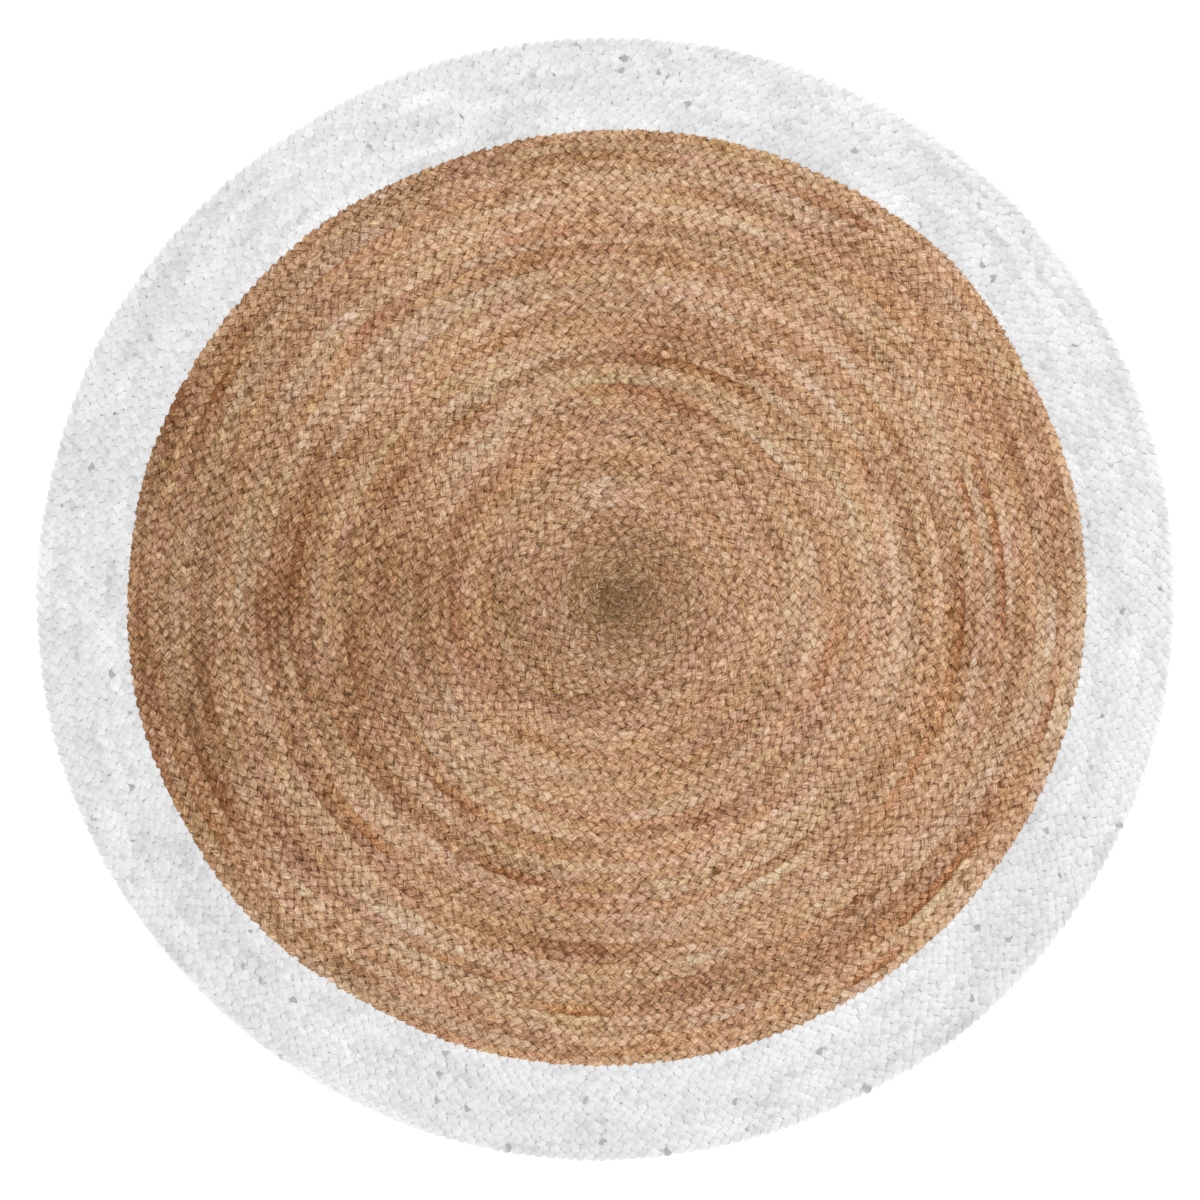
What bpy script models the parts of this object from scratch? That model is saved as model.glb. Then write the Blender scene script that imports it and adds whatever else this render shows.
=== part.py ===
"""Round rug: one long three-strand jute braid wound flat from the middle, then a white braid for the border.

Every turn lies beside the last, and sewing thread in the groove between turns holds them together.
Each braid is one closed flat ribbon. Lengths are in metres. The rug lies on z = 0, top face up.
"""

import math

import bpy

# ---- driving dimensions -------------------------------------------------------------------------
RUG_DIAMETER = 1.500        # mean width over the border
BRAID_THICKNESS = 0.009     # a flattened three-strand braid, and so the whole rug
FIELD_TURNS = 45.9          # from the middle to the end of the natural braid
BORDER_TURNS = 8.5          # turns of white braid outside it
START_TURN = -0.25          # where the tapered start of the natural braid lies, in turns
THREAD_WIDTH = 0.0008       # sewing thread between turns
THREAD_DEPTH = 0.0014
CLEARANCE = 0.0003          # between touching pieces
EDGE_CREST = 0.0010         # how far the thread lies below the top face
SPLICE_LENGTH = 0.16        # lapped joint between the two braids
TAIL_LENGTH = 0.78          # tapered end of the white braid
TIP_WIDTH = 0.0016          # width left at every tapered tip
STITCH_HEIGHT = 0.0050      # of the stitches through the lapped joint and the tail
TAIL_STITCH_LENGTH = 0.090
PEG_RADIUS = 0.0009         # of the bundle of centre stitches
PEG_BOTTOM = 0.0005         # how far it stays inside both faces
PEG_SIDES = 8
FIELD_OVAL = 0.0173         # the field is this much longer one way, and shorter across it
RIM_OVAL = 0.0098           # the same at the rim
OVAL_ANGLE = math.radians(10.0)
START_OFFSET = (0.0247, -0.0075)    # from the centre of the last turn to the middle of the spiral
WINDING = -1                # clockwise outwards, seen from above

# ---- sizes that follow --------------------------------------------------------------------------
SPLICE_TURN = FIELD_TURNS
END_TURN = FIELD_TURNS + BORDER_TURNS
PITCH = RUG_DIAMETER / 2 / END_TURN             # from one turn to the next
GROOVE = THREAD_WIDTH + 2 * CLEARANCE           # open width between two turns
HALF_BRAID = (PITCH - GROOVE) / 2 / PITCH       # half a braid's width, in turns
HALF_THREAD = THREAD_WIDTH / 2 / PITCH
CORE_RADIUS = PEG_RADIUS + 1.3 * CLEARANCE      # what the braid's start leaves free round the centre stitches

# Straight sides in each turn: few near the middle, more further out. Grid is the finest of them.
GRID = 48
INNER_SIDES, MIDDLE_SIDES, OUTER_SIDES = 12, 24, 48
INNER_TURN = 10.0                               # end of the turns with INNER_SIDES
MIDDLE_TURN = 37.0                              # end of the turns with MIDDLE_SIDES
ROUNDING_TURNS = 7.0                            # turns over which new corners move out to the circle

# ---- colours: red, green, blue; roughness -------------------------------------------------------
JUTE = ((0.451, 0.262, 0.147), 0.85)
WHITE = ((0.800, 0.800, 0.785), 0.90)
JUTE_THREAD = ((0.520, 0.360, 0.215), 0.70)
WHITE_THREAD = ((0.860, 0.860, 0.840), 0.70)


def ramp(value, low, high):
    return min(1.0, max(0.0, (value - low) / (high - low)))


def snap(turn, sides=INNER_SIDES):
    """The nearest corner of a turn with this many sides."""
    return round(turn * sides) / sides


def arc_in_turns(length, turn):
    """How much of a turn this length of braid covers: whole corner steps, at least one."""
    return max(1, round(length / (math.tau * PITCH * turn) * GRID)) / GRID


def tail_start():
    return snap(END_TURN) - arc_in_turns(TAIL_LENGTH, END_TURN)


def corner_factor(u, turn):
    """How far out a corner lies against the circle, so that turns with more sides nest in coarser ones."""
    step = round(turn * GRID)
    if step % (GRID // INNER_SIDES) == 0:
        return 1.0
    if step % (GRID // MIDDLE_SIDES) == 0:
        low = math.cos(math.pi / INNER_SIDES)
        start = snap(INNER_TURN) + 0.5
    else:
        low = math.cos(math.pi / MIDDLE_SIDES)
        start = snap(MIDDLE_TURN) + 0.5
    return low + (1.0 - low) * ramp(u, start, start + ROUNDING_TURNS)


def place_on_spiral(u, turn):
    """Plan position u pitches from the middle of the spiral, at this many turns round it."""
    angle = WINDING * math.tau * turn - OVAL_ANGLE
    radius = PITCH * u * corner_factor(u, turn)
    rim = ramp(u, SPLICE_TURN, END_TURN)
    oval = FIELD_OVAL + (RIM_OVAL - FIELD_OVAL) * rim
    x = radius * math.cos(angle) * (1 + oval)
    y = radius * math.sin(angle) * (1 - oval)
    c, s = math.cos(OVAL_ANGLE), math.sin(OVAL_ANGLE)
    drift = 1.0 - u / END_TURN
    return (c * x - s * y + START_OFFSET[0] * drift, s * x + c * y + START_OFFSET[1] * drift)


def rug_centre():
    """Middle of the box round the last whole turn, which becomes the origin."""
    xs, ys = [], []
    for step in range(round((snap(END_TURN) - 1) * GRID), round(tail_start() * GRID) + 1):
        x, y = place_on_spiral(step / GRID + HALF_BRAID, step / GRID)
        xs.append(x)
        ys.append(y)
    return (min(xs) + max(xs)) / 2, (min(ys) + max(ys)) / 2


def place(u, turn):
    x, y = place_on_spiral(u, turn)
    return x - CENTRE[0], y - CENTRE[1]


def turns_between(first, last, zones):
    """Corner positions from first to last; zones gives (up to this turn, sides per turn)."""
    result = [first]
    step = round(first * GRID)
    end = round(last * GRID)
    while step < end:
        sides = next(n for limit, n in zones if step < round(limit * GRID) or limit == zones[-1][0])
        size = GRID // sides
        step = min(end, (step // size + 1) * size)
        result.append(step / GRID)
    return result


def material(name, look):
    colour, roughness = look
    mat = bpy.data.materials.new(name)
    mat.use_nodes = True
    shader = mat.node_tree.nodes["Principled BSDF"]
    shader.inputs["Base Color"].default_value = (*colour, 1.0)
    shader.inputs["Roughness"].default_value = roughness
    shader.inputs["Metallic"].default_value = 0.0
    return mat


def add_object(name, points, faces, look):
    mesh = bpy.data.meshes.new(name)
    mesh.from_pydata(points, [], faces)
    mesh.materials.append(material(name, look))
    obj = bpy.data.objects.new(name, mesh)
    bpy.context.scene.collection.objects.link(obj)
    return obj


def sweep(name, rings, look):
    """Closed solid through rings of points, capped at both ends."""
    sides = len(rings[0])
    points = [p for ring in rings for p in ring]
    faces = []
    for i in range(len(rings) - 1):
        a, b = i * sides, (i + 1) * sides
        for j in range(sides):
            k = (j + 1) % sides
            faces.append((a + j, b + j, b + k, a + k))
    faces.append(tuple(range(sides)))
    faces.append(tuple(len(points) - 1 - j for j in range(sides)))
    return add_object(name, points, faces, look)


def ribbon(name, stations, look):
    """Flat ribbon; each station is (turn, inner edge u, outer edge u, bottom z, top z)."""
    rings = []
    for turn, inner, outer, bottom, top in stations:
        low, high = place(inner, turn), place(outer, turn)
        ring = [(*low, bottom), (*low, top), (*high, top), (*high, bottom)]
        rings.append(ring)
    return sweep(name, rings, look)


def thread(name, turns, look):
    """Thread lying in the groove just outside each of these turns."""
    top = BRAID_THICKNESS - EDGE_CREST
    rings = []
    for turn in turns:
        u = turn + 0.5
        left, right, foot = place(u - HALF_THREAD, turn), place(u + HALF_THREAD, turn), place(u, turn)
        rings.append([(*left, top), (*right, top), (*foot, top - THREAD_DEPTH)])
    return sweep(name, rings, look)


def build():
    tip = TIP_WIDTH / PITCH
    gap = GROOVE / PITCH
    first, tail_end = snap(START_TURN), snap(END_TURN)
    splice_end = snap(SPLICE_TURN)
    splice_start = splice_end - arc_in_turns(SPLICE_LENGTH, SPLICE_TURN)
    zones = ((snap(INNER_TURN), INNER_SIDES), (snap(MIDDLE_TURN), MIDDLE_SIDES), (END_TURN + 1, OUTER_SIDES))

    def cut(turn):
        """Slanted cut of the lapped joint: the natural braid's outer edge on its way across the track."""
        widest = 2 * HALF_BRAID - gap - tip
        return turn - HALF_BRAID + tip + (widest - tip) * (1 - ramp(turn, splice_start, splice_end))

    def tail_edge(turn):
        """Outer edge of the white braid, which tapers to a tip."""
        width = tip + (2 * HALF_BRAID - tip) * (1 - ramp(turn, tail_start(), tail_end))
        return turn - HALF_BRAID + width

    # Natural braid: a tapered start wrapped round the centre stitches, and a slanted end.
    stations = []
    for turn in turns_between(first, splice_end, zones):
        inner = max(CORE_RADIUS / PITCH, turn - HALF_BRAID)
        outer = cut(turn) if turn >= splice_start else turn + HALF_BRAID
        stations.append((turn, inner, outer, 0.0, BRAID_THICKNESS))
    ribbon("natural_braid", stations, JUTE)

    # White braid: starts as a tip outside the slanted cut and ends in a long taper.
    stations = []
    for turn in turns_between(splice_start, tail_end, zones):
        inner = cut(turn) + gap if turn <= splice_end else turn - HALF_BRAID
        stations.append((turn, inner, tail_edge(turn), 0.0, BRAID_THICKNESS))
    ribbon("white_braid", stations, WHITE)

    # Sewing thread in the groove outside each turn, as far as the turn beyond it goes.
    inner_start = first + 1 / INNER_SIDES
    last_field = splice_end - 1 - 1 / OUTER_SIDES
    thread("field_seam_thread", turns_between(inner_start, last_field, zones), JUTE_THREAD)
    thread("border_seam_thread", turns_between(splice_end - 1, tail_end - 1, zones), WHITE_THREAD)

    # Stitches through the lapped joint, in the slanted gap between the two braids.
    low = (BRAID_THICKNESS - STITCH_HEIGHT) / 2
    high = low + STITCH_HEIGHT
    stations = []
    for turn in turns_between(splice_start, splice_end, zones):
        middle = cut(turn) + gap / 2
        stations.append((turn, middle - HALF_THREAD, middle + HALF_THREAD, low, high))
    ribbon("splice_stitches", stations, JUTE_THREAD)

    # Stitches along the outside of the tail's tip, which hold it to the turn before.
    stations = []
    for turn in turns_between(tail_end - arc_in_turns(TAIL_STITCH_LENGTH, END_TURN), tail_end, zones):
        inner = tail_edge(turn) + CLEARANCE / PITCH
        stations.append((turn, inner, inner + 2 * HALF_THREAD, low, high))
    ribbon("tail_stitches", stations, WHITE_THREAD)

    # Centre stitches: a small bundle through the middle that the braid's start is wrapped round.
    cx, cy = place(0.0, 0.0)
    rings = []
    for z in (PEG_BOTTOM, BRAID_THICKNESS - PEG_BOTTOM):
        corners = [-math.tau * j / PEG_SIDES for j in range(PEG_SIDES)]
        rings.append([(cx + PEG_RADIUS * math.cos(a), cy + PEG_RADIUS * math.sin(a), z) for a in corners])
    sweep("centre_stitches", rings, JUTE_THREAD)


CENTRE = rug_centre()
for obj in list(bpy.data.objects):
    bpy.data.objects.remove(obj, do_unlink=True)
for mesh in list(bpy.data.meshes):
    bpy.data.meshes.remove(mesh)
build()
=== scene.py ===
"""Looks of the round braided rug: every strand of both plaits, the sewing thread, floor, light and camera.

All lengths are in metres, in the CAD frame: the rug lies on z = 0 with its middle at the origin.
"""

import math

import bpy
import numpy as np
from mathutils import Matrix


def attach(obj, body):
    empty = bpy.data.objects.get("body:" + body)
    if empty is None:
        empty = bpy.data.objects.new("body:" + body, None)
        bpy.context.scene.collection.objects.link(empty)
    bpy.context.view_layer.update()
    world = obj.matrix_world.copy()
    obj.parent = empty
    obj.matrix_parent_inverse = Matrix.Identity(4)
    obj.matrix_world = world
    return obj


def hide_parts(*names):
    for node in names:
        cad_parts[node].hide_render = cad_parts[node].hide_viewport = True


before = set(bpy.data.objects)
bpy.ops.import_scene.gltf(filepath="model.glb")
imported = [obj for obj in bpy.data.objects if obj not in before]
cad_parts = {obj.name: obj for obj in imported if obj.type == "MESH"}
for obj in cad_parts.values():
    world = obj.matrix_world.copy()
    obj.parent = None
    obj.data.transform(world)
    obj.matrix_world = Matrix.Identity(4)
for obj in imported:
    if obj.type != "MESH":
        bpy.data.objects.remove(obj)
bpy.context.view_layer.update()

# ---- the spiral, as in the CAD ------------------------------------------------------------------
RUG_DIAMETER = 1.500
THICKNESS = 0.009
FIELD_NOMINAL, BORDER_TURNS = 45.9, 8.5
NOMINAL_TURNS = FIELD_NOMINAL + BORDER_TURNS
PITCH = RUG_DIAMETER / 2 / NOMINAL_TURNS
CORNERS, FINE_CORNERS = 12, 48              # corners of the CAD's ribbons in each turn
FIRST_TURN = -0.25
SPLICE_TURN = round(FIELD_NOMINAL * CORNERS) / CORNERS
END_TURN = round(NOMINAL_TURNS * CORNERS) / CORNERS
SPLICE_START = SPLICE_TURN - 2 / FINE_CORNERS
TAIL_START = END_TURN - 8 / FINE_CORNERS
TIP_WIDTH = 0.0016
FIELD_OVAL, RIM_OVAL, OVAL_ANGLE = 0.0173, 0.0098, math.radians(10.0)
START_OFFSET = (0.0247, -0.0075)
WINDING = -1
CORE_RADIUS = 0.0013
FIELD_LEAN, LEAN_ANGLE = 0.0055, math.radians(-60.0)   # how far the field lies to one side, and which

# ---- the plait ----------------------------------------------------------------------------------
PERIOD = 0.044            # one strand's whole weave, from side to side and back
RINGS = 18                # sections of a strand in each period
SIDES = 8
NATURAL_STRAND = (0.0049, 0.0025)               # half sizes of a flattened strand
WHITE_STRAND = (0.0056, 0.0027)                 # the white one is bulkier and softer
NATURAL_OVERLAP, WHITE_OVERLAP = 0.0010, 0.0012  # neighbouring turns press into each other by this
NATURAL_ROUND, WHITE_ROUND = 0.9, 0.62          # 1 is an ellipse; less is a boxier section
NATURAL_SQUEEZE, WHITE_SQUEEZE = 0.16, 0.18     # how much fuller a strand is between crossings
NATURAL_DWELL, WHITE_DWELL = -0.04, 0.12        # how long a strand stays at the edge of the plait
NATURAL_LOOSE, WHITE_LOOSE = 1.15, 0.8          # how uneven the plaiting is
ROLL_SHARPNESS = 0.4      # less turns a strand over more suddenly at the edge of the plait
RISE_SHARPNESS = 0.8      # less keeps a strand longer at its highest and lowest
SLIMMEST = 0.45           # share of the thickness left at a tapered tip
TIP_FULLNESS = 0.25       # share of a strand's width left at a tapered tip
MEASURE_STEPS = 720       # points to a turn when a length is measured
FIBRE_SHIFT = 50.0        # keeps the fibres of one strand from repeating another's

# How uneven the plaiting is: how much it strays, and the length over which that changes.
PLAIT_DRIFT = (1.5, 0.13)             # the whole plait along its length, in radians of the weave
SWING_DRIFT = (0.05, 0.04)            # its width, as a share
STRAND_DRIFT = (0.42, 0.03)           # one strand along its length, in radians of the weave
SIDE_DRIFT = (0.0003, 0.012)          # one strand sideways
RISE_DRIFT = (0.0003, 0.016)          # and up
ROLL_DRIFT = (0.2, 0.02)              # how far it is turned over, in radians
BULK_DRIFT = (0.14, 0.035)            # how full it is, as a share
BULK_RIPPLE = (0.09, 0.012)           # the same, over a shorter length
rng = np.random.default_rng(20)


def ramp(value, low, high):
    return np.clip((value - low) / (high - low), 0.0, 1.0)


def place_on_spiral(u, turn):
    angle = WINDING * math.tau * turn - OVAL_ANGLE
    radius = PITCH * u
    rim = ramp(u, FIELD_NOMINAL, NOMINAL_TURNS)
    oval = FIELD_OVAL + (RIM_OVAL - FIELD_OVAL) * rim
    x, y = radius * np.cos(angle) * (1 + oval), radius * np.sin(angle) * (1 - oval)
    c, s = math.cos(OVAL_ANGLE), math.sin(OVAL_ANGLE)
    drift = 1.0 - u / NOMINAL_TURNS
    return c * x - s * y + START_OFFSET[0] * drift, s * x + c * y + START_OFFSET[1] * drift


def rug_centre():
    turn = np.linspace(END_TURN - 1, TAIL_START, 2000)
    x, y = place_on_spiral(turn + 0.5, turn)
    return (x.min() + x.max()) / 2, (y.min() + y.max()) / 2


CENTRE = rug_centre()


class RingNoise:
    """Smooth random field over the rug, in cells this deep across the turns and this long round them."""

    def __init__(self, deep, long):
        self.deep = deep
        rings = int(RUG_DIAMETER / 2 / deep) + 4
        self.count = np.maximum(3, np.round(math.tau * np.arange(rings) * deep / long)).astype(int)
        self.table = rng.normal(0.0, 0.6, (rings, int(self.count.max()) + 1))
        self.shift = rng.random(rings)

    def ring(self, index, share):
        count = self.count[index]
        x = (share + self.shift[index]) % 1.0 * count
        i = np.floor(x).astype(int)
        f = x - i
        f = f * f * (3 - 2 * f)
        return self.table[index, i % count] * (1 - f) + self.table[index, (i + 1) % count] * f

    def at(self, u, turn):
        r = np.clip(PITCH * u / self.deep, 0, len(self.count) - 2.001)
        i = np.floor(r).astype(int)
        f = r - i
        f = f * f * (3 - 2 * f)
        return self.ring(i, turn) * (1 - f) + self.ring(i + 1, turn) * f


WANDER = RingNoise(0.080, 0.18)       # rows that aren't quite true to the spiral
WANDER_SIZE = 0.0024


def place(u, turn):
    wander = WANDER_SIZE * WANDER.at(u, turn) * ramp(u, 0.5, 6.0)
    in_field = ramp(u, 0.0, FIELD_NOMINAL) * (1 - ramp(u, FIELD_NOMINAL, NOMINAL_TURNS))
    lean = FIELD_LEAN * np.cos(WINDING * math.tau * turn - LEAN_ANGLE) * in_field
    x, y = place_on_spiral(u + (wander + lean) / PITCH, turn)
    return x - CENTRE[0], y - CENTRE[1]


def slanted_cut(turn):
    """Outer edge of the natural braid through the lapped joint, in turns."""
    tip = TIP_WIDTH / PITCH
    return turn - 0.5 + tip + (1 - 2 * tip) * (1 - ramp(turn, SPLICE_START, SPLICE_TURN))


def natural_edges(turn):
    inner = np.maximum(CORE_RADIUS / PITCH, turn - 0.5)
    outer = np.where(turn > SPLICE_START, slanted_cut(turn), turn + 0.5)
    return inner, outer


def white_edges(turn):
    tip = TIP_WIDTH / PITCH
    inner = np.where(turn < SPLICE_TURN, slanted_cut(turn), turn - 0.5)
    outer = turn - 0.5 + tip + (1 - tip) * (1 - ramp(turn, TAIL_START, END_TURN))
    return inner, outer


def smooth_noise(s, spacing):
    """Smooth random values along a length, mostly within -1 to 1."""
    count = int(s[-1] / spacing) + 4
    knots = rng.normal(0.0, 0.6, count)
    x = s / spacing
    i = np.floor(x).astype(int)
    f = x - i
    f = f * f * (3 - 2 * f)
    return knots[i] * (1 - f) + knots[i + 1] * f


def drift(s, amount, looseness=1.0):
    """Smooth random change along a length; amount is how much, and over what length."""
    size, spacing = amount
    return size * looseness * smooth_noise(s, spacing)


def unit(v):
    return v / np.linalg.norm(v, axis=1, keepdims=True)


def tube_mesh(name, centres, wide_dir, thick_dir, wide, thick, sides, values, roundness=1.0):
    """Closed tube of oval sections, with named values at its rings and a UV map in rows for the bake."""
    n = len(centres)
    phi = math.tau * np.arange(sides) / sides
    cos, sin = np.cos(phi), np.sin(phi)
    cos, sin = np.sign(cos) * np.abs(cos) ** roundness, np.sign(sin) * np.abs(sin) ** roundness
    ring = (centres[:, None, :] + (wide[:, None] * cos)[:, :, None] * wide_dir[:, None, :]
            + (thick[:, None] * sin)[:, :, None] * thick_dir[:, None, :])
    points = ring.reshape(-1, 3)
    k = np.arange(n - 1)[:, None]
    j = np.arange(sides)[None, :]
    a = k * sides + j
    b = k * sides + (j + 1) % sides
    quads = np.stack([a, a + sides, b + sides, b], axis=-1).reshape(-1, 4)
    along = np.gradient(centres, axis=0)
    middle = n // 2
    if np.dot(np.cross(wide_dir[middle], thick_dir[middle]), along[middle]) > 0:
        quads = quads[:, ::-1]
        caps = [np.arange(sides)[::-1], (n - 1) * sides + np.arange(sides)]
    else:
        caps = [np.arange(sides), (n - 1) * sides + np.arange(sides)[::-1]]
    loops = np.concatenate([quads.reshape(-1)] + caps).astype(np.int32)
    starts = np.concatenate([np.arange(len(quads)) * 4, [len(quads) * 4, len(quads) * 4 + sides]])
    totals = np.concatenate([np.full(len(quads), 4), [sides, sides]])

    mesh = bpy.data.meshes.new(name)
    mesh.vertices.add(len(points))
    mesh.vertices.foreach_set("co", points.astype(np.float32).reshape(-1))
    mesh.loops.add(len(loops))
    mesh.loops.foreach_set("vertex_index", loops)
    mesh.polygons.add(len(starts))
    mesh.polygons.foreach_set("loop_start", starts.astype(np.int32))
    mesh.polygons.foreach_set("loop_total", totals.astype(np.int32))
    mesh.polygons.foreach_set("use_smooth", np.ones(len(starts), dtype=bool))

    length = np.concatenate([[0.0], np.cumsum(np.linalg.norm(np.diff(centres, axis=0), axis=1))])
    girth = math.pi * (float(wide.mean()) + float(thick.mean()))
    rows = max(1, round(math.sqrt(length[-1] / girth)))
    per_row = math.ceil((n - 1) / rows)
    ring_index = np.repeat(np.arange(n - 1), sides * 4)
    corner_ring = loops[:len(quads) * 4] // sides
    side_index = np.tile(np.repeat(np.arange(sides), 4), n - 1)
    corner_side = loops[:len(quads) * 4] % sides
    corner_side = np.where((side_index == sides - 1) & (corner_side == 0), sides, corner_side)
    row = ring_index // per_row
    margin = 0.06
    u = 0.002 + 0.996 * (corner_ring - row * per_row) / per_row
    v = (row + margin + (1 - 2 * margin) * corner_side / sides) / rows
    cap_uv = np.tile([[0.0005, 0.0005]], (2 * sides, 1))
    cap_phi = math.tau * np.arange(2 * sides) / sides
    cap_uv = cap_uv + 0.0004 * np.stack([np.cos(cap_phi), np.sin(cap_phi)], axis=1)
    uv = np.concatenate([np.stack([u, v], axis=1), cap_uv])
    mesh.uv_layers.new(name="OFBake").data.foreach_set("uv", uv.astype(np.float32).reshape(-1))

    # per ring, how strongly the materials paint shade or light into the crevices
    painted_shading = values.pop("painted_shading", np.ones(n))
    for key, value in values.items():
        data = mesh.attributes.new(key, "FLOAT", "POINT").data
        data.foreach_set("value", np.repeat(value, sides).astype(np.float32))
    # how deep a point lies towards the middle of the thickness, where the materials paint crevice shade or
    # light
    painted_crevice_depth = 1.0 - np.clip(np.abs(points[:, 2] / (THICKNESS / 2) - 1.0), 0.0, 1.0)
    painted_crevice_depth = painted_crevice_depth * np.repeat(painted_shading, sides)
    mesh.attributes.new("painted_crevice_depth", "FLOAT", "POINT").data.foreach_set("value", painted_crevice_depth.astype(np.float32))
    fibre = np.stack([np.repeat(length, sides), np.tile(cos, n) * np.repeat(wide, sides),
                      np.tile(sin, n) * np.repeat(thick, sides)], axis=1)
    fibre[:, 0] += values["strand"][0] * FIBRE_SHIFT
    mesh.attributes.new("fibre", "FLOAT_VECTOR", "POINT").data.foreach_set(
        "vector", fibre.astype(np.float32).reshape(-1))
    mesh.update()
    mesh.validate()
    obj = bpy.data.objects.new(name, mesh)
    bpy.context.scene.collection.objects.link(obj)
    return obj


# ---- materials ----------------------------------------------------------------------------------
def new_material(name, roughness):
    mat = bpy.data.materials.new(name)
    mat.use_nodes = True
    nodes, links = mat.node_tree.nodes, mat.node_tree.links
    shader = nodes["Principled BSDF"]
    shader.inputs["Roughness"].default_value = roughness
    shader.inputs["Specular IOR Level"].default_value = 0.25
    return mat, nodes, links, shader


def attribute(nodes, name):
    node = nodes.new("ShaderNodeAttribute")
    node.attribute_name = name
    return node


def math_node(nodes, links, op, a, b, clamp=False):
    node = nodes.new("ShaderNodeMath")
    node.operation = op
    node.use_clamp = clamp
    for socket, value in zip(node.inputs, (a, b)):
        if isinstance(value, (int, float)):
            socket.default_value = value
        else:
            links.new(value, socket)
    return node.outputs[0]


def mix_colour(nodes, links, factor, a, b, blend="MIX"):
    node = nodes.new("ShaderNodeMix")
    node.data_type = "RGBA"
    node.blend_type = blend
    for socket, value in ((node.inputs[0], factor), (node.inputs[6], a), (node.inputs[7], b)):
        if isinstance(value, (int, float)):
            socket.default_value = value
        elif isinstance(value, tuple):
            socket.default_value = (*value, 1.0)
        else:
            links.new(value, socket)
    return node.outputs[2]


def noise(nodes, links, vector, scale, detail=2.0, rough=0.5, stretch=None):
    if stretch:
        mapping = nodes.new("ShaderNodeMapping")
        mapping.inputs["Scale"].default_value = stretch
        links.new(vector, mapping.inputs["Vector"])
        vector = mapping.outputs["Vector"]
    node = nodes.new("ShaderNodeTexNoise")
    node.inputs["Scale"].default_value = scale
    node.inputs["Detail"].default_value = detail
    node.inputs["Roughness"].default_value = rough
    links.new(vector, node.inputs["Vector"])
    return node.outputs["Fac"]


def fibre_bump(nodes, links, shader, height, strength, distance):
    bump = nodes.new("ShaderNodeBump")
    bump.inputs["Strength"].default_value = strength
    bump.inputs["Distance"].default_value = distance
    links.new(height, bump.inputs["Height"])
    links.new(bump.outputs["Normal"], shader.inputs["Normal"])


JUTE_SHADES = ((0.0, (0.180, 0.085, 0.027)), (0.28, (0.295, 0.162, 0.078)), (0.52, (0.490, 0.305, 0.178)),
               (0.76, (0.660, 0.455, 0.292)), (1.0, (0.850, 0.660, 0.480)))     # tone and its colour
RED_CAST, STRAW_CAST = (1.13, 0.83, 0.68), (0.97, 1.02, 1.03)
YELLOW_TINT, PINK_TINT = (1.0, 1.005, 0.87), (1.0, 0.98, 1.11)
GREY_YARN, WHITE_YARN = (0.44, 0.44, 0.445), (0.95, 0.95, 0.95)


def jute_material():
    mat, nodes, links, shader = new_material("natural_jute", 0.78)
    fibre = attribute(nodes, "fibre").outputs["Vector"]
    fine = noise(nodes, links, fibre, 1.0, 2.0, 0.6, (110.0, 1500.0, 1500.0))
    ply = noise(nodes, links, fibre, 1.0, 2.0, 0.6, (170.0, 620.0, 620.0))
    coarse = noise(nodes, links, fibre, 1.0, 2.0, 0.5, (80.0, 300.0, 300.0))
    # painted shade in the crevices between strands, darkest at the middle of the thickness
    painted_shading = math_node(nodes, links, "POWER", attribute(nodes, "painted_crevice_depth").outputs["Fac"], 1.5)
    painted_shading = math_node(nodes, links, "MULTIPLY", painted_shading, 0.28)
    total = math_node(nodes, links, "SUBTRACT", attribute(nodes, "tone").outputs["Fac"], painted_shading)
    for layer, weight in ((fine, 1.1), (ply, 1.8), (coarse, 0.6)):
        swing = math_node(nodes, links, "SUBTRACT", layer, 0.5)
        total = math_node(nodes, links, "ADD", total, math_node(nodes, links, "MULTIPLY", swing, weight))
    total = math_node(nodes, links, "ADD", total, 0.0, clamp=True)
    ramp_node = nodes.new("ShaderNodeValToRGB")
    elements = ramp_node.color_ramp.elements
    elements[0].position, elements[1].position = JUTE_SHADES[0][0], JUTE_SHADES[-1][0]
    elements[0].color, elements[1].color = (*JUTE_SHADES[0][1], 1.0), (*JUTE_SHADES[-1][1], 1.0)
    for position, colour in JUTE_SHADES[1:-1]:
        elements.new(position).color = (*colour, 1.0)
    links.new(total, ramp_node.inputs["Fac"])
    red = mix_colour(nodes, links, 1.0, ramp_node.outputs["Color"], RED_CAST, "MULTIPLY")
    straw = mix_colour(nodes, links, 1.0, ramp_node.outputs["Color"], STRAW_CAST, "MULTIPLY")
    colour = mix_colour(nodes, links, attribute(nodes, "hue").outputs["Fac"], straw, red)
    pinkness = attribute(nodes, "tint").outputs["Fac"]
    tint = mix_colour(nodes, links, pinkness, YELLOW_TINT, PINK_TINT)
    colour = mix_colour(nodes, links, 1.0, colour, tint, "MULTIPLY")
    links.new(colour, shader.inputs["Base Color"])
    height = math_node(nodes, links, "ADD", math_node(nodes, links, "ADD", fine, ply), coarse)
    fibre_bump(nodes, links, shader, height, 0.7, 0.0008)
    return mat


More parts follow.
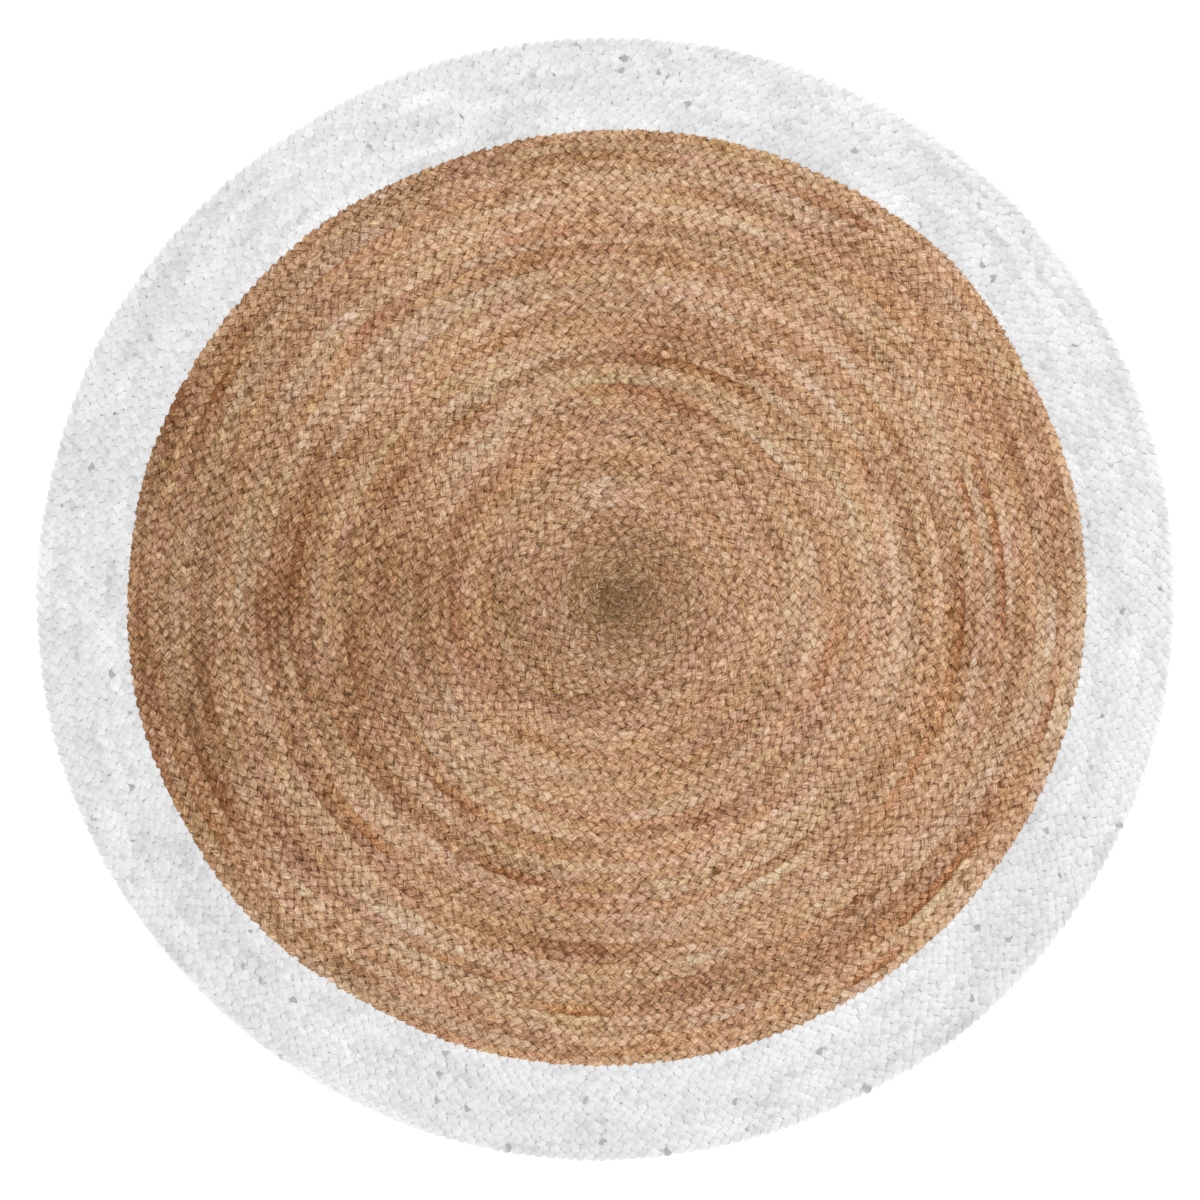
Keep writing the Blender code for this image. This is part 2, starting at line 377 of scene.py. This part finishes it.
def white_material():
    mat, nodes, links, shader = new_material("white_yarn", 0.9)
    shader.inputs["Sheen Weight"].default_value = 0.5
    shader.inputs["Sheen Roughness"].default_value = 0.5
    fibre = attribute(nodes, "fibre").outputs["Vector"]
    fine = noise(nodes, links, fibre, 1.0, 2.0, 0.6, (140.0, 900.0, 900.0))
    coarse = noise(nodes, links, fibre, 1.0, 2.0, 0.5, (120.0, 300.0, 300.0))
    # painted light in the crevices between strands, so the gaps show pale instead of shaded
    painted_fill_light = math_node(nodes, links, "MULTIPLY", attribute(nodes, "painted_crevice_depth").outputs["Fac"], 0.52)
    total = math_node(nodes, links, "ADD", attribute(nodes, "tone").outputs["Fac"], painted_fill_light)
    for layer, weight in ((fine, 0.1), (coarse, 0.4)):
        swing = math_node(nodes, links, "SUBTRACT", layer, 0.5)
        total = math_node(nodes, links, "ADD", total, math_node(nodes, links, "MULTIPLY", swing, weight))
    total = math_node(nodes, links, "ADD", total, 0.0, clamp=True)
    colour = mix_colour(nodes, links, total, GREY_YARN, WHITE_YARN)
    links.new(colour, shader.inputs["Base Color"])
    fibre_bump(nodes, links, shader, math_node(nodes, links, "ADD", fine, coarse), 0.2, 0.0004)
    return mat


def thread_material(name, dark, light):
    mat, nodes, links, shader = new_material(name, 0.65)
    fibre = attribute(nodes, "fibre").outputs["Vector"]
    ply = noise(nodes, links, fibre, 1.0, 2.0, 0.5, (700.0, 2200.0, 2200.0))
    links.new(mix_colour(nodes, links, ply, dark, light), shader.inputs["Base Color"])
    fibre_bump(nodes, links, shader, ply, 0.4, 0.0002)
    return mat


JUTE = jute_material()
WHITE = white_material()
JUTE_THREAD = thread_material("natural_thread", (0.36, 0.22, 0.12), (0.62, 0.44, 0.27))
WHITE_THREAD = thread_material("white_thread", (0.70, 0.70, 0.69), (0.90, 0.90, 0.89))


def finish_piece(obj, material, node):
    obj.data.materials.append(material)
    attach(obj, "root")
    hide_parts(node)
    return obj


# ---- the braids ---------------------------------------------------------------------------------
def braid(first, last, edges):
    """Evenly spaced stations along the middle of a braid: turn, middle, width share, length."""
    fine = np.linspace(first, last, int((last - first) * MEASURE_STEPS) + 2)
    inner, outer = edges(fine)
    x, y = place((inner + outer) / 2, fine)
    length = np.concatenate([[0.0], np.cumsum(np.hypot(np.diff(x), np.diff(y)))])
    count = int(length[-1] / PERIOD * RINGS)
    s = np.linspace(0.0, length[-1], count + 1)
    turn = np.interp(s, length, fine)
    inner, outer = edges(turn)
    return turn, (inner + outer) / 2, outer - inner, s


def make_strands(prefix, station, material, node, sections, tones, look):
    strand_size, overlap, roundness, fuller, dwell, looseness = look
    turn, middle, width, s = station
    half_wide, half_thick = strand_size
    rise = THICKNESS / 2 - half_thick           # how far a strand rises and falls
    phase = math.tau * s / PERIOD + drift(s, PLAIT_DRIFT, looseness)
    swing = (PITCH / 2 - half_thick + overlap) * (1 + drift(s, SWING_DRIFT, looseness))
    slim = SLIMMEST + (1 - SLIMMEST) * width
    for index, letter in enumerate("abc"):
        t = phase + math.tau * index / 3 + drift(s, STRAND_DRIFT, looseness)
        weave = (np.sin(t) + dwell * np.sin(3 * t)) / (1 - dwell)
        q = swing * width * weave + drift(s, SIDE_DRIFT, looseness)
        double = np.sin(2 * t)
        lift = drift(s, RISE_DRIFT, looseness)
        z = THICKNESS / 2 + slim * rise * np.sign(double) * np.abs(double) ** RISE_SHARPNESS + lift
        x, y = place(middle + q / PITCH, turn)
        centres = np.stack([x, y, z], axis=1)
        tangent = unit(np.gradient(centres, axis=0))
        x2, y2 = place(middle + q / PITCH + 0.01, turn)
        outward = np.stack([x2 - x, y2 - y, np.zeros_like(x)], axis=1)
        up = np.zeros_like(centres)
        up[:, 2] = 1.0
        up = unit(up - tangent * tangent[:, 2:3])
        side = np.cross(tangent, up)
        side *= np.sign((side * outward).sum(axis=1))[:, None]
        cos = np.cos(t)
        roll = (math.pi / 2) * (1 - np.sign(cos) * np.abs(cos) ** ROLL_SHARPNESS)
        roll = roll + drift(s, ROLL_DRIFT, looseness)
        c, r = np.cos(roll)[:, None], np.sin(roll)[:, None]
        thick_dir, wide_dir = c * up + r * side, c * side - r * up
        bulk = 1 + looseness * (drift(s, BULK_DRIFT) + drift(s, BULK_RIPPLE))
        squeeze = 1 - fuller * np.cos(4 * t)
        wide = half_wide * bulk * squeeze * (TIP_FULLNESS + (1 - TIP_FULLNESS) * width)
        thick = half_thick * (0.5 + 0.5 * bulk) * slim
        power = 2 / (2 - roundness)             # how far a section of this roundness reaches down
        by_width, by_thickness = np.abs(wide * wide_dir[:, 2]), np.abs(thick * thick_dir[:, 2])
        reach = (by_width ** power + by_thickness ** power) ** (1 / power)
        centres[:, 2] += np.maximum(0.0, reach - centres[:, 2])      # so that it stays on or above z = 0
        tone, hue, tint, painted_shading = tones(s, middle, turn, weave)
        n = len(s)
        for part in range(sections):
            lo = part * (n - 1) // sections
            hi = (part + 1) * (n - 1) // sections + 1
            cut = slice(lo, hi)
            name = f"{prefix}_{letter}" + (f"_{part + 1}" if sections > 1 else "")
            obj = tube_mesh(name, centres[cut], wide_dir[cut], thick_dir[cut], wide[cut], thick[cut], SIDES,
                            {"tone": tone[cut], "hue": hue[cut], "tint": tint[cut], "painted_shading": painted_shading[cut],
                             "strand": np.full(hi - lo, index + 3.0 * part)}, roundness)
            finish_piece(obj, material, node)


STREAKS = RingNoise(0.020, 0.17)      # light and dark along the turns
LONG_STREAKS = RingNoise(0.012, 0.30)
BANDS = RingNoise(0.045, 2.0)         # whole turns a little lighter or darker
RED_STREAKS = RingNoise(0.013, 0.20)
TINT_SPOTS = RingNoise(0.014, 0.06)
TINT_PATCHES = RingNoise(0.050, 0.16)
natural = braid(FIRST_TURN, SPLICE_TURN, natural_edges)
white = braid(SPLICE_START, END_TURN, white_edges)
BATCH_TONE = smooth_noise(natural[3], 0.12)     # jute changes from one bundle of fibre to the next
BATCH_RED = smooth_noise(natural[3], 0.10)


NATURAL_TONE, NATURAL_RED, NATURAL_TINT = 0.638, 0.37, 0.44     # usual values, from 0 to 1
WHITE_TONE = 0.625
PAINTED_SHADE_SIDE, PAINTED_SHADE_SPREAD, PAINTED_SHADE_DEPTH = math.radians(184), 0.65, 0.20      # painted shade: the field is darker to one side
# painted light: the field is a little lighter to another side
PAINTED_LIGHT_SIDE, PAINTED_LIGHT_GAIN = math.radians(-45), 0.04
SMUDGE_CORE, SMUDGE_WIDE = 0.040, 0.120     # sizes of the darker middle
SMUDGE_RED = 0.060                          # and of its loss of red


def bell(distance, size):
    return np.exp(-(distance / size) ** 2)


def natural_tones(s, u, turn, weave):
    """Brightness, redness, pinkness and the strength of painted crevice shade of a natural strand along its
    length; the brightness holds painted shade and painted light too.
    """
    x, y = place(u, turn)
    from_start = PITCH * np.abs(u)
    outer = ramp(from_start, 0.12, 0.36)
    calm = ramp(from_start, 0.02, 0.11)         # the smudged middle is even in colour
    streak = (0.05 + 0.04 * outer) * STREAKS.at(u, turn) + (0.03 + 0.04 * outer) * LONG_STREAKS.at(u, turn)
    streak = streak + calm * (0.03 + 0.07 * outer) * BATCH_TONE
    tone = NATURAL_TONE + np.where(streak > 0, 0.55, 1.0) * streak
    tone = tone + 0.04 * BANDS.at(u, turn) + 0.03 * smooth_noise(s, 0.30)
    tone = tone + calm * (0.07 * smooth_noise(s, 0.030) + 0.09 * smooth_noise(s, 0.010))
    tone = tone - 0.6 * outer * np.clip(smooth_noise(s, 0.010) - 1.0, 0, 1)      # flecks of bark
    # painted shade along the edges of the rows, in the grooves between turns
    tone = tone - 0.30 * ramp(np.abs(weave), 0.6, 1.0) * calm * np.clip(smooth_noise(s, 0.12), 0, 1)
    tone = tone - 0.22 * bell(from_start, SMUDGE_CORE) - 0.28 * bell(from_start, SMUDGE_WIDE)
    angle = np.arctan2(y, x)
    side = (angle - PAINTED_SHADE_SIDE + math.pi) % math.tau - math.pi
    far = ramp(from_start, 0.05, 0.35)
    # painted shade to one side and painted light to another
    tone = tone - PAINTED_SHADE_DEPTH * far * bell(side, PAINTED_SHADE_SPREAD)
    tone = tone + PAINTED_LIGHT_GAIN * far * np.clip(np.cos(angle - PAINTED_LIGHT_SIDE), 0, 1)
    red = (0.12 + 0.10 * outer) * RED_STREAKS.at(u, turn) + (0.05 + 0.10 * outer) * BATCH_RED * calm
    arc = outer * np.clip(BATCH_RED + 0.5 * RED_STREAKS.at(u, turn) - 0.70, 0, 0.7)
    arc = arc * ramp(weave, -0.3, 0.6)          # redder fibre shows along one side of a row
    red = NATURAL_RED + red + 0.45 * arc + 0.06 * smooth_noise(s, 0.15) + 0.10 * smooth_noise(s, 0.03)
    tone = tone - 0.35 * (red - NATURAL_RED) - 0.20 * arc
    red = red - 0.36 * bell(from_start, SMUDGE_RED)
    tint = NATURAL_TINT + 0.30 * TINT_SPOTS.at(u, turn) + 0.14 * TINT_PATCHES.at(u, turn)
    tint = tint + 0.25 * smooth_noise(s, 0.03)
    # the last value weakens the painted crevice shade in the even middle
    return tone, np.clip(red, 0.0, 1.0), np.clip(tint, 0.0, 1.0), 0.15 + 0.85 * calm


def white_tones(s, u, turn, weave):
    tone = WHITE_TONE + np.minimum(0.10 * smooth_noise(s, 0.05) + 0.12 * smooth_noise(s, 0.012), 0.06)
    tone = tone + 0.12 * TINT_SPOTS.at(u, turn) + 0.05 * TINT_PATCHES.at(u, turn)    # soft grey mottling
    tone = tone - 2.9 * np.clip(smooth_noise(s, 0.010) - 1.2, 0, 1)              # greyer flecks
    return tone, np.zeros_like(s), np.zeros_like(s), np.ones_like(s)


make_strands("natural_strand", natural, JUTE, "natural_braid", 4, natural_tones,
             (NATURAL_STRAND, NATURAL_OVERLAP, NATURAL_ROUND, NATURAL_SQUEEZE, NATURAL_DWELL, NATURAL_LOOSE))
make_strands("white_strand", white, WHITE, "white_braid", 2, white_tones,
             (WHITE_STRAND, WHITE_OVERLAP, WHITE_ROUND, WHITE_SQUEEZE, WHITE_DWELL, WHITE_LOOSE))


# ---- sewing thread ------------------------------------------------------------------------------
STITCH = 0.020            # length of one whole stitch
STITCH_RINGS = 8
THREAD_RADIUS = 0.0004
STITCH_REACH = 0.0019     # to each side of the groove
STITCH_RISE = 0.0021      # above and below the middle of the thickness
THREAD_SIDES = 4
WHIP_RINGS = 14           # sections in each overcast stitch
WHIP_RISE = 0.0040        # of the holding stitches, above and below the middle
SPLICE_STITCHES, SPLICE_REACH = 20, 0.0025
TAIL_STITCHES, TAIL_REACH = 14, 0.0022
CENTRE_LOOPS, CENTRE_RINGS, CENTRE_REACH = 3, 97, 0.0042


def thread_tube(name, centres, material, node, strand):
    tangent = unit(np.gradient(centres, axis=0))
    up = np.zeros_like(centres)
    up[:, 2] = 1.0
    across = unit(np.cross(tangent, up + 1e-6))
    other = np.cross(across, tangent)
    radius = np.full(len(centres), THREAD_RADIUS)
    values = {"strand": np.full(len(centres), strand)}
    obj = tube_mesh(name, centres, across, other, radius, radius, THREAD_SIDES, values)
    return finish_piece(obj, material, node)


def seam(prefix, first, last, material, node, sections):
    fine = np.linspace(first, last, int((last - first) * MEASURE_STEPS) + 2)
    x, y = place(fine + 0.5, fine)
    length = np.concatenate([[0.0], np.cumsum(np.hypot(np.diff(x), np.diff(y)))])
    count = int(length[-1] / STITCH * STITCH_RINGS)
    s = np.linspace(0.0, length[-1], count + 1)
    turn = np.interp(s, length, fine)
    t = math.tau * s / STITCH
    reach = STITCH_REACH * (1 + 0.15 * smooth_noise(s, 0.02))
    x, y = place(turn + 0.5 + reach * np.cos(t) / PITCH, turn)
    centres = np.stack([x, y, THICKNESS / 2 + STITCH_RISE * np.sin(t)], axis=1)
    n = len(s)
    for part in range(sections):
        lo = part * (n - 1) // sections
        hi = (part + 1) * (n - 1) // sections + 1
        name = prefix + (f"_{part + 1}" if sections > 1 else "")
        thread_tube(name, centres[lo:hi], material, node, 20.0 + part)


seam("field_thread", FIRST_TURN + 1 / CORNERS, SPLICE_TURN - 1 - 1 / FINE_CORNERS, JUTE_THREAD,
     "field_seam_thread", 2)
seam("border_thread", SPLICE_TURN - 1, END_TURN - 1, WHITE_THREAD, "border_seam_thread", 1)


def whip(name, edge, first, last, stitches, reach, material, node):
    """Overcast stitches that follow an edge, given in turns."""
    s = np.linspace(0.0, 1.0, stitches * WHIP_RINGS + 1)
    turn = first + (last - first) * s
    t = math.tau * stitches * s
    x, y = place(edge(turn) + reach * np.cos(t) / PITCH, turn)
    centres = np.stack([x, y, THICKNESS / 2 + WHIP_RISE * np.sin(t)], axis=1)
    thread_tube(name, centres, material, node, 30.0)


whip("splice_thread", slanted_cut, SPLICE_START, SPLICE_TURN, SPLICE_STITCHES, SPLICE_REACH,
     JUTE_THREAD, "splice_stitches")
whip("tail_thread", lambda turn: white_edges(turn)[0], END_TURN - 1 / FINE_CORNERS, END_TURN,
     TAIL_STITCHES, TAIL_REACH, WHITE_THREAD, "tail_stitches")


def centre_stitches():
    """Loops over the start of the braid, spread evenly so that they cross."""
    cx, cy = place(np.zeros(1), np.zeros(1))
    t = np.linspace(0.0, math.tau * CENTRE_LOOPS, CENTRE_RINGS)
    spin = t / (2 * CENTRE_LOOPS)
    x = cx + CENTRE_REACH * np.cos(t) * np.cos(spin)
    y = cy + CENTRE_REACH * np.cos(t) * np.sin(spin)
    z = THICKNESS / 2 + WHIP_RISE * np.sin(t)
    thread_tube("centre_thread", np.stack([x, y, z], axis=1), JUTE_THREAD,
                "centre_stitches", 40.0)


centre_stitches()


# ---- floor, light and camera --------------------------------------------------------------------
FLOOR_HALF = 6.0
FLOOR_GAP = 0.0003        # below the rug
FLOOR_COLOUR, FLOOR_GLOW = (0.96, 0.96, 0.96), 0.25
WORLD_STRENGTH = 0.98
KEY_PLACE, KEY_SIZE, KEY_POWER = (1.8, 1.3, 3.0), 2.4, 18.0


def floor():
    mesh = bpy.data.meshes.new("floor")
    corners = [(x * FLOOR_HALF, y * FLOOR_HALF, 0) for x, y in ((-1, -1), (1, -1), (1, 1), (-1, 1))]
    mesh.from_pydata(corners, [], [(0, 1, 2, 3)])
    mat = bpy.data.materials.new("floor")
    mat.use_nodes = True
    shader = mat.node_tree.nodes["Principled BSDF"]
    shader.inputs["Base Color"].default_value = (*FLOOR_COLOUR, 1.0)
    shader.inputs["Roughness"].default_value = 0.9
    shader.inputs["Specular IOR Level"].default_value = 0.1
    shader.inputs["Emission Color"].default_value = (1.0, 1.0, 1.0, 1.0)
    shader.inputs["Emission Strength"].default_value = FLOOR_GLOW
    mesh.materials.append(mat)
    obj = bpy.data.objects.new("floor", mesh)
    obj.location.z = -FLOOR_GAP
    bpy.context.scene.collection.objects.link(obj)


floor()
scene = bpy.context.scene
world = bpy.data.worlds.new("world")
scene.world = world
world.use_nodes = True
world.node_tree.nodes["Background"].inputs["Color"].default_value = (1.0, 1.0, 1.0, 1.0)
world.node_tree.nodes["Background"].inputs["Strength"].default_value = WORLD_STRENGTH


def area_light(name, location, size, energy):
    light = bpy.data.lights.new(name, "AREA")
    light.size = size
    light.energy = energy
    obj = bpy.data.objects.new(name, light)
    obj.location = location
    direction = -obj.location.normalized()
    obj.rotation_euler = direction.to_track_quat("-Z", "Y").to_euler()
    scene.collection.objects.link(obj)


area_light("key", KEY_PLACE, KEY_SIZE, KEY_POWER)

FRAME_WIDTH = 1.5995      # of floor that the picture takes in
CAMERA_PLACE = (-0.008, -0.0024)
CAMERA_HEIGHT = 5.0
camera = bpy.data.cameras.new("camera")
camera.sensor_width = 36.0
camera.lens = camera.sensor_width * CAMERA_HEIGHT / FRAME_WIDTH
camera.clip_end = 50.0
camera_obj = bpy.data.objects.new("camera", camera)
camera_obj.location = (*CAMERA_PLACE, CAMERA_HEIGHT)
scene.collection.objects.link(camera_obj)
scene.camera = camera_obj
scene.view_settings.view_transform = "Standard"
